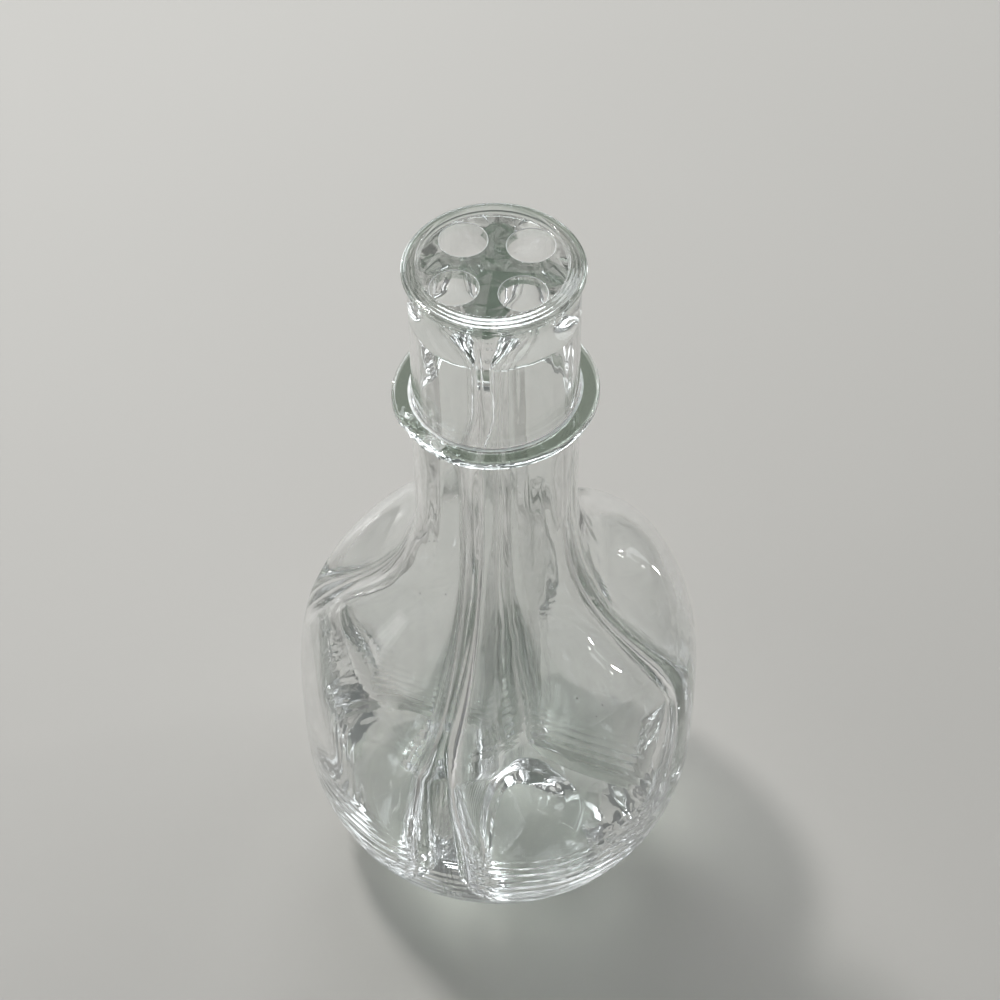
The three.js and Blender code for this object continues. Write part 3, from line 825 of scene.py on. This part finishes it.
# Seeds: small closed bubbles in the glass, whose faces look into the bubble

SEEDS_PER_PIECE = 9
SEEDS = np.random.default_rng(41)

# Ranges for the seeds, the lengths in millimetres: height, place along or off the wall, radius,
# and how many times as tall as wide
WEB_HEIGHTS = (24, 150)
WEB_PLACES = (0.15, 0.85)
WEB_OFFSET = 0.7
WEB_SIZES = (0.12, 0.34)
WEB_STRETCHES = (1.0, 2.4)
SEAM_HEIGHTS = (203, 232)
SEAM_DEPTHS = (1.0, 1.9)
SEAM_OFFSETS = (0.35, 0.6)
SEAM_SIZES = (0.1, 0.22)
SEAM_STRETCHES = (1.5, 4.0)


def add_bubble(shell, centre, size, stretch):
    around = np.linspace(0, 2 * math.pi, 11)[:-1][::-1]
    rows = []
    for lift in np.linspace(-0.5, 0.5, 7)[1:-1] * math.pi:
        rows.append(polar(size * math.cos(lift), around, size * stretch * math.sin(lift)) + centre)
    rings = shell.rings(rows)
    shell.tip(rings[0], centre - [0, 0, size * stretch], GLASS, upward=False)
    shell.bands(rings, GLASS)
    shell.tip(rings[-1], centre + [0, 0, size * stretch], GLASS, upward=True)


def add_web_bubbles(shell, quarter):
    """Bubbles in a chamber's half of the partition wall on its first side."""
    for _ in range(SEEDS_PER_PIECE):
        z = SEEDS.uniform(*WEB_HEIGHTS) * MM
        stage = 1 + (z - BELLY_HEIGHT) / (FLARE_TOP - BELLY_HEIGHT) * 2 if z > BELLY_HEIGHT else 1
        far = crease_outline(min(stage, 3), 1)[0]
        place = np.array([SEEDS.uniform(*WEB_PLACES) * far, WEB_OFFSET * MM, z])
        size = SEEDS.uniform(*WEB_SIZES) * MM
        add_bubble(shell, quarter_turned(place, quarter), size, SEEDS.uniform(*WEB_STRETCHES))


def add_seam_bubbles(shell, quarter):
    """Drawn-out bubbles along the seam between two throats, near the outside."""
    for z in SEEDS.uniform(*SEAM_HEIGHTS, SEEDS_PER_PIECE) * MM:
        x, y = cross_shift(z, quarter)
        start = arc_angles(z, 0.0, quarter)
        radius = HEAD_RADIUS - SEEDS.uniform(*SEAM_DEPTHS) * MM
        off_wall = y + SEEDS.uniform(*SEAM_OFFSETS) * MM
        place = np.array([radius * math.cos(start), off_wall, z])
        size = SEEDS.uniform(*SEAM_SIZES) * MM
        add_bubble(shell, from_cross(place, z, quarter), size, SEEDS.uniform(*SEAM_STRETCHES))


# Meshes

KEY_STEP = 0.002 * MM


def face_normals(points, faces):
    corners = points[faces]
    if faces.shape[1] == 4:
        return np.cross(corners[:, 2] - corners[:, 0], corners[:, 3] - corners[:, 1])
    return np.cross(corners[:, 1] - corners[:, 0], corners[:, 2] - corners[:, 0])


def shared_normals(shells):
    """For each shell the normal of the glass at its points, summed over all pieces that meet there."""
    keys = np.concatenate([np.round(shell.all_points() / KEY_STEP).astype(int) for shell in shells])
    unique, places = np.unique(keys, axis=0, return_inverse=True)
    places = places.reshape(-1)
    totals = np.zeros((len(unique), 3))
    start = 0
    for shell in shells:
        points = shell.all_points()
        for faces, kinds in shell.face_sets():
            solid = np.isin(kinds, OUTSIDE)
            normals = face_normals(points, faces[solid])
            for corner in faces[solid].T:
                np.add.at(totals, places[start + corner], normals)
        start += len(points)
    totals = unit(totals)
    start = 0
    for shell in shells:
        yield totals[places[start:start + shell.count]]
        start += shell.count


def add_object(name, data):
    thing = bpy.data.objects.new(name, data)
    bpy.context.scene.collection.objects.link(thing)
    return thing


def make_piece(shell, point_normals, materials):
    """materials gives a material for each kind of face that the shell has."""
    points = shell.all_points()
    faces, kinds, normals = [], [], []
    for some, some_kinds in shell.face_sets():
        flat = unit(face_normals(points, some))
        smooth = np.isin(some_kinds, OUTSIDE)[:, None, None]
        normals.append(np.where(smooth, point_normals[some], flat[:, None, :]).reshape(-1, 3))
        faces += some.tolist()
        kinds.append(some_kinds)
    kinds = np.concatenate(kinds)
    used = sorted(set(kinds.tolist()))
    mesh = bpy.data.meshes.new(shell.name + "_glass")
    mesh.from_pydata(points.tolist(), [], faces)
    for kind in used:
        mesh.materials.append(materials[kind])
    mesh.polygons.foreach_set("material_index", np.searchsorted(used, kinds).astype(np.int32))
    mesh.polygons.foreach_set("use_smooth", np.ones(len(kinds), bool))
    mesh.normals_split_custom_set(np.concatenate(normals).tolist())
    mesh.update()
    piece = add_object(shell.name + "_glass", mesh)
    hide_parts(shell.name)
    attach(piece, "root")


# Materials

GLASS_IOR = 1.51
TRAPPED_DEPTH = 9  # light that has met more surfaces than this leaks out, as at seeds and scratches
EDGE_SHADOW = 0.35  # the share of a shadow's light that is left at the glass's edges
SURFACE_SOCKETS = (
    ("Clear Tint", "INPUT", "NodeSocketColor"),
    ("Deep Tint", "INPUT", "NodeSocketColor"),
    ("Tint", "OUTPUT", "NodeSocketColor"),
    ("Roughness", "OUTPUT", "NodeSocketFloat"),
    ("Ripples", "OUTPUT", "NodeSocketFloat"),
)


class Nodes:
    """Adds nodes to a tree that starts empty, and links them."""

    def __init__(self, tree):
        self.nodes, self.links = tree.nodes, tree.links
        self.nodes.clear()

    def add(self, kind, inputs=(), **settings):
        """A node with its settings. Its inputs get values, or outputs of other nodes."""
        node = self.nodes.new(kind)
        for name, value in settings.items():
            setattr(node, name, value)
        for name, value in dict(inputs).items():
            if isinstance(value, bpy.types.NodeSocket):
                self.links.new(value, node.inputs[name])
            else:
                node.inputs[name].default_value = value
        return node

    def value(self, kind, output, inputs=(), **settings):
        """The output of a new node."""
        return self.add(kind, inputs, **settings).outputs[output]

    def place(self, output="Object"):
        """The place on the object, or the direction seen."""
        return self.value("ShaderNodeTexCoord", output)

    def product(self, a, b):
        return self.value("ShaderNodeMath", "Value", {0: a, 1: b}, operation="MULTIPLY")

    def show(self, shader):
        self.add("ShaderNodeOutputMaterial", {"Surface": shader})

    def show_mix(self, amount, first, second):
        self.show(self.value("ShaderNodeMixShader", "Shader", {"Fac": amount, 1: first, 2: second}))


def surface_group(name, threads):
    """Unevenness of a fire-polished surface: its tint, its smears and its fine ripples. With
    threads, the tint runs round the axis."""
    group = bpy.data.node_groups.new(name, "ShaderNodeTree")
    for socket_name, side, kind in SURFACE_SOCKETS:
        group.interface.new_socket(socket_name, in_out=side, socket_type=kind)
    tree = Nodes(group)
    tints = tree.add("NodeGroupInput").outputs
    place = tree.place()
    drawn = tree.value("ShaderNodeMapping", "Vector", {"Vector": place, "Scale": (1, 1, 0.35)})
    ripple = tree.value("ShaderNodeTexNoise", "Fac", {"Vector": drawn, "Scale": 150, "Detail": 2})
    cloud = tree.value("ShaderNodeTexNoise", "Fac", {"Vector": place, "Scale": 26})
    run = cloud
    if threads:
        waves = {"Vector": place, "Scale": 330, "Distortion": 3, "Detail Scale": 0.2}
        axis = {"wave_type": "RINGS", "rings_direction": "Z"}
        run = tree.value("ShaderNodeTexWave", "Fac", waves, **axis)
    mixed = {"Factor": run, "A": tints["Clear Tint"], "B": tints["Deep Tint"]}
    tint = tree.value("ShaderNodeMix", "Result", mixed, data_type="RGBA")
    smears = {"Value": cloud, "From Min": 0.58, "From Max": 0.75, "To Max": 0.025}
    roughness = tree.value("ShaderNodeMapRange", "Result", smears)
    tree.add("NodeGroupOutput", {"Tint": tint, "Roughness": roughness, "Ripples": ripple})
    return group


def streaks_group():
    """Upright streaks that break up the painted shade and the painted highlight lines in the joints,
    from 0 to 1.
    """
    group = bpy.data.node_groups.new("joint_streaks", "ShaderNodeTree")
    group.interface.new_socket("Streaks", in_out="OUTPUT", socket_type="NodeSocketFloat")
    tree = Nodes(group)
    stretched = {"Vector": tree.place(), "Scale": (1, 1, 0.06)}
    drawn = tree.value("ShaderNodeMapping", "Vector", stretched)
    lines = tree.value("ShaderNodeTexNoise", "Fac", {"Vector": drawn, "Scale": 420, "Detail": 3})
    contrast = {"Value": lines, "From Min": 0.36, "From Max": 0.66, "To Min": 0.25}
    streaks = tree.value("ShaderNodeMapRange", "Result", contrast)
    tree.add("NodeGroupOutput", {"Streaks": streaks})
    return group


def new_material(name):
    material = bpy.data.materials.new(name)
    material.use_nodes = True
    return material, Nodes(material.node_tree)


def glass_material(name, clear_tint, deep_tint, shadow, surface_kind):
    """shadow is the colour of the light that falls through the glass."""
    material, tree = new_material(name)
    tints = {"Clear Tint": (*clear_tint, 1), "Deep Tint": (*deep_tint, 1)}
    surface = tree.add("ShaderNodeGroup", tints, node_tree=surface_kind).outputs
    ripples = {"Height": surface["Ripples"], "Strength": 0.3, "Distance": 0.06 * MM}
    glass = tree.value("ShaderNodeBsdfPrincipled", "BSDF", {
        "Base Color": surface["Tint"],
        "Metallic": 0,
        "Transmission Weight": 1,
        "IOR": GLASS_IOR,
        "Roughness": surface["Roughness"],
        "Normal": tree.value("ShaderNodeBump", "Normal", ripples),
    })
    path = tree.add("ShaderNodeLightPath").outputs
    edge = tree.value("ShaderNodeLayerWeight", "Facing", {"Blend": 0.35})
    edge_shadow = [EDGE_SHADOW * value for value in shadow]
    shadows = {"Factor": edge, "A": (*shadow, 1), "B": (*edge_shadow, 1)}
    light = tree.value("ShaderNodeMix", "Result", shadows, data_type="RGBA")
    passing = {"Factor": path["Is Shadow Ray"], "A": (1, 1, 1, 1), "B": light}
    through = tree.value("ShaderNodeMix", "Result", passing, data_type="RGBA")
    lets_light = tree.value("ShaderNodeBsdfTransparent", "BSDF", {"Color": through})
    depth = {0: path["Ray Depth"], 1: TRAPPED_DEPTH}
    trapped = tree.value("ShaderNodeMath", "Value", depth, operation="GREATER_THAN")
    either = {0: path["Is Shadow Ray"], 1: trapped}
    straight = tree.value("ShaderNodeMath", "Value", either, operation="MAXIMUM")
    tree.show_mix(straight, glass, lets_light)
    return material


def line_material():
    """A painted highlight: a white line along a joint or in a fillet, standing in for the light that the
    fillet reflects.
    """
    material, tree = new_material("painted_highlight_line")
    streaks = tree.value("ShaderNodeGroup", "Streaks", node_tree=STREAKS)
    whiteness = {"Value": streaks, "To Min": 0.6, "To Max": 1.0}
    amount = tree.value("ShaderNodeMapRange", "Result", whiteness)
    glass = tree.value("ShaderNodeBsdfPrincipled", "BSDF", {
        "Base Color": (0.93, 0.97, 0.95, 1),
        "Transmission Weight": 1,
        "IOR": GLASS_IOR,
        "Roughness": 0.15,
    })
    painted_white = tree.value("ShaderNodeBsdfDiffuse", "BSDF", {"Color": (0.95, 0.96, 0.95, 1)})
    tree.show_mix(amount, glass, painted_white)
    return material


def fused_material():
    """Where two pieces are fused there is only glass, so the face shows nothing."""
    material, tree = new_material("fused_face")
    tree.show(tree.value("ShaderNodeBsdfPrincipled", "BSDF", {"Alpha": 0}))
    return material


def shade_sheet_material(name, colour, straight_on, at_grazing, top, bottom):
    """Painted shade: a grey-green sheet in a fused joint, standing in for the dim green of thick glass
    seen edge-on, strongest at grazing views. It is gone above the height top.
    """
    material, tree = new_material(name)
    streaks = tree.value("ShaderNodeGroup", "Streaks", node_tree=STREAKS)
    view = tree.value("ShaderNodeLayerWeight", "Facing", {"Blend": 0.5})
    views = {"Value": view, "From Min": 0.1, "To Min": straight_on, "To Max": at_grazing}
    by_view = tree.value("ShaderNodeMapRange", "Result", views)
    z = tree.value("ShaderNodeSeparateXYZ", "Z", {"Vector": tree.place()})
    heights = {"Value": z, "From Min": top, "From Max": bottom}
    by_height = tree.value("ShaderNodeMapRange", "Result", heights)
    streaked = tree.product(by_view, streaks)
    clear = tree.value("ShaderNodeBsdfTransparent", "BSDF")
    painted_sheet = tree.value("ShaderNodeBsdfDiffuse", "BSDF", {"Color": (*colour, 1)})
    tree.show_mix(tree.product(streaked, by_height), clear, painted_sheet)
    return material


def plate_joint_shade_material():
    """Painted shade: a grey-green sheet in the joint of the four throats, seen through the plate,
    standing in for the dim green that light reflected inside the thick glass shows there; thinner to the
    sides.
    """
    material, tree = new_material("plate_joint_painted_shade")
    place = tree.place()
    in_head = {"Vector": place, "Rotation": (0, 0, -HEAD_TURN), "Scale": (1, 1, 0)}
    head = tree.value("ShaderNodeMapping", "Vector", in_head)
    x = tree.value("ShaderNodeSeparateXYZ", "X", {"Vector": head})
    sideways = tree.value("ShaderNodeMath", "Value", {0: x}, operation="ABSOLUTE")
    thinning = tree.value("ShaderNodeMapRange", "Result", {
        "Value": sideways,
        "From Min": 5 * MM,
        "From Max": 14 * MM,
        "To Min": 0.94,
        "To Max": 0.5,
    })
    far = tree.value("ShaderNodeVectorMath", "Value", {0: head}, operation="LENGTH")
    lip = {"Value": far, "From Min": 21.5 * MM, "From Max": 20 * MM}
    inside_lip = tree.value("ShaderNodeMapRange", "Result", lip)
    cloud = tree.value("ShaderNodeTexNoise", "Fac", {"Vector": place, "Scale": 160})
    greens = {"Factor": cloud, "A": (0.1, 0.125, 0.098, 1), "B": (0.15, 0.175, 0.145, 1)}
    colour = tree.value("ShaderNodeMix", "Result", greens, data_type="RGBA")
    clear = tree.value("ShaderNodeBsdfTransparent", "BSDF")
    painted_sheet = tree.value("ShaderNodeBsdfDiffuse", "BSDF", {"Color": colour})
    tree.show_mix(tree.product(thinning, inside_lip), clear, painted_sheet)
    return material


SURFACE = surface_group("fire_polished_surface", threads=False)
THREADS = surface_group("threaded_surface", threads=True)
STREAKS = streaks_group()
CLEAR_GLASS = glass_material(
    "clear_glass", (0.992, 0.997, 0.994), (0.972, 0.985, 0.978), (0.82, 0.84, 0.83), SURFACE
)
THICK_GLASS = glass_material(
    "thick_glass", (0.95, 0.975, 0.96), (0.9, 0.945, 0.92), (0.8, 0.83, 0.81), SURFACE
)
LIP_GLASS = glass_material(
    "lip_glass", (0.84, 0.89, 0.85), (0.38, 0.45, 0.39), (0.7, 0.74, 0.71), THREADS
)
COLLAR_GLASS = glass_material(
    "collar_glass", (0.41, 0.47, 0.41), (0.33, 0.39, 0.33), (0.6, 0.65, 0.61), SURFACE
)
FUSED_FACE = fused_material()
# Painted highlight: the white line in the fillets and along joints
PAINTED_HIGHLIGHT = line_material()
# Painted shade: a grey-green sheet in the partition walls' joints
WEB_JOINT_SHADE = shade_sheet_material("web_joint_painted_shade", (0.19, 0.235, 0.185), 0.03, 0.95, 125 * MM, 85 * MM)
# Painted shade: a grey-green sheet in the plate's cross
PLATE_JOINT_SHADE = plate_joint_shade_material()
CLEAR_KINDS = {GLASS: CLEAR_GLASS, FUSED: FUSED_FACE, SHADE_SHEET: WEB_JOINT_SHADE}
THICK_KINDS = {
    GLASS: THICK_GLASS,
    FUSED: FUSED_FACE,
    SHADE_SHEET: PLATE_JOINT_SHADE,
    DEEP: COLLAR_GLASS,
    HIGHLIGHT_LINE: PAINTED_HIGHLIGHT,
}
LIP_KINDS = {GLASS: THICK_GLASS, FUSED: FUSED_FACE, DEEP: LIP_GLASS}
KINDS_OF = {"clear_glass": CLEAR_KINDS, "thick_glass": THICK_KINDS, "lip_glass": LIP_KINDS}

CHAMBERS = [chamber(quarter) for quarter in range(4)]
THROATS = [throat(quarter) for quarter in range(4)]
for quarter in range(4):
    add_web_bubbles(CHAMBERS[quarter], quarter)
    add_seam_bubbles(THROATS[quarter], quarter)
SHELLS = [base_pad(), *CHAMBERS, *THROATS, pour_plate(), rim_lip(), neck_collar()]
for shell, point_normals in zip(SHELLS, shared_normals(SHELLS)):
    finish = "lip_glass" if shell.name == "rim_lip" else shell.slot
    make_piece(shell, point_normals, KINDS_OF[finish])


# Floor, light and camera

FLOOR_HALF = 8.0
FLOOR_DROP = 0.04 * MM  # the foot ring touches only at a few points, so air lies under the rest
LAMP_AIM = Vector((0, 0, 0.12))
DAYLIGHT = (0.93, 0.97, 1)
WHITE = (1, 1, 1)

# Name, azimuth and elevation in degrees, distance, size, watts and colour
LAMPS = (
    ("key", -62, 58, 1.4, (0.17, 0.17), 9, WHITE),
    ("window_left", -44, 32, 1.6, (0.8, 0.8), 8.0, DAYLIGHT),
    ("window_right", 36, 32, 1.6, (0.9, 0.8), 5.0, DAYLIGHT),
    ("window_high", -20, 74, 1.6, (0.7, 0.4), 1.6, DAYLIGHT),
    ("window_front", -130, 38, 1.6, (0.6, 0.5), 1.0, WHITE),
    ("band", -17, 34, 1.6, (0.55, 0.16), 4.5, DAYLIGHT),
    ("left_spark", -60, 1.5, 1.5, (0.05, 0.05), 1.5, WHITE),
    ("right_spark", 52, 15, 1.5, (0.05, 0.05), 1.5, WHITE),
)
WORLD_STOPS = (
    (0.0, (0.36, 0.36, 0.35, 1)),
    (0.1, (0.12, 0.12, 0.12, 1)),
    (0.28, (0.26, 0.26, 0.26, 1)),
    (0.55, (0.14, 0.15, 0.15, 1)),
)


def floor_material():
    material, tree = new_material("pale_floor")
    cloud = tree.value("ShaderNodeTexNoise", "Fac", {"Vector": tree.place(), "Scale": 3})
    pales = {"Factor": cloud, "A": (0.46, 0.44, 0.41, 1), "B": (0.49, 0.47, 0.44, 1)}
    colour = tree.value("ShaderNodeMix", "Result", pales, data_type="RGBA")
    plain = {"Base Color": colour, "Roughness": 0.6}
    tree.show(tree.value("ShaderNodeBsdfPrincipled", "BSDF", plain))
    return material


def add_floor():
    mesh = bpy.data.meshes.new("floor")
    sides = ((-1, -1), (1, -1), (1, 1), (-1, 1))
    corners = [(x * FLOOR_HALF, y * FLOOR_HALF, -FLOOR_DROP) for x, y in sides]
    mesh.from_pydata(corners, [], [(0, 1, 2, 3)])
    mesh.materials.append(floor_material())
    add_object("floor", mesh)


def add_softbox(name, azimuth, elevation, distance, size, watts, colour):
    """A lamp that faces the decanter. Azimuth 0 is behind it, towards +Y."""
    lamp = bpy.data.lights.new(name, "AREA")
    lamp.shape = "RECTANGLE"
    lamp.size, lamp.size_y = size
    lamp.energy = watts
    lamp.color = colour
    thing = add_object(name, lamp)
    a, e = math.radians(azimuth), math.radians(elevation)
    away = Vector((math.sin(a) * math.cos(e), math.cos(a) * math.cos(e), math.sin(e)))
    thing.location = LAMP_AIM + away * distance
    thing.rotation_euler = (-away).to_track_quat("-Z", "Y").to_euler()


def add_world():
    """Grey at the horizon and dimmer overhead, so that clear glass has edges."""
    world = bpy.data.worlds.new("studio")
    world.use_nodes = True
    tree = Nodes(world.node_tree)
    up = tree.value("ShaderNodeSeparateXYZ", "Z", {"Vector": tree.place("Generated")})
    ramp = tree.add("ShaderNodeValToRGB", {"Fac": up})
    stops = ramp.color_ramp.elements
    stops[0].position, stops[0].color = WORLD_STOPS[0]
    stops[1].position, stops[1].color = WORLD_STOPS[-1]
    for position, colour in WORLD_STOPS[1:-1]:
        stops.new(position).color = colour
    greys = {"Color": ramp.outputs["Color"]}
    sky = tree.value("ShaderNodeBackground", "Background", greys)
    tree.add("ShaderNodeOutputWorld", {"Surface": sky})
    bpy.context.scene.world = world


def add_camera():
    """The photograph's view: the middle of the rim lies at a known place in the picture."""
    focal = 2700.0  # pixels
    middle = 500.0
    rim_pixel = (494.0, 268.4)
    rim_pixels = 94.1
    rim_radius = 25 * MM
    azimuth = math.radians(19.5)
    roll = math.radians(-0.6)
    depth = focal * rim_radius / rim_pixels
    across = (rim_pixel[0] - middle) / focal
    above = (middle - rim_pixel[1]) / focal
    pitch = math.radians(44.3) + math.atan(above)
    tilted = Matrix.Rotation(math.pi / 2 - pitch, 3, "X") @ Matrix.Rotation(roll, 3, "Z")
    place = tilted @ Vector((-across, -above, 1)) * depth
    turn = Matrix.Rotation(azimuth - math.atan2(place.x, -place.y), 3, "Z")
    lens = bpy.data.cameras.new("camera")
    lens.sensor_width = 36
    lens.lens = focal / 1000 * lens.sensor_width
    camera = add_object("camera", lens)
    moved = Matrix.Translation(turn @ place + Vector((0, 0, BEAD_HEIGHT)))
    camera.matrix_world = moved @ (turn @ tilted).to_4x4()
    bpy.context.scene.camera = camera


add_floor()
add_world()
for lamp in LAMPS:
    add_softbox(*lamp)
add_camera()

scene = bpy.context.scene
scene.view_settings.view_transform = "Standard"
scene.cycles.max_bounces = 28
scene.cycles.transmission_bounces = 28
scene.cycles.glossy_bounces = 12
scene.cycles.transparent_max_bounces = 64
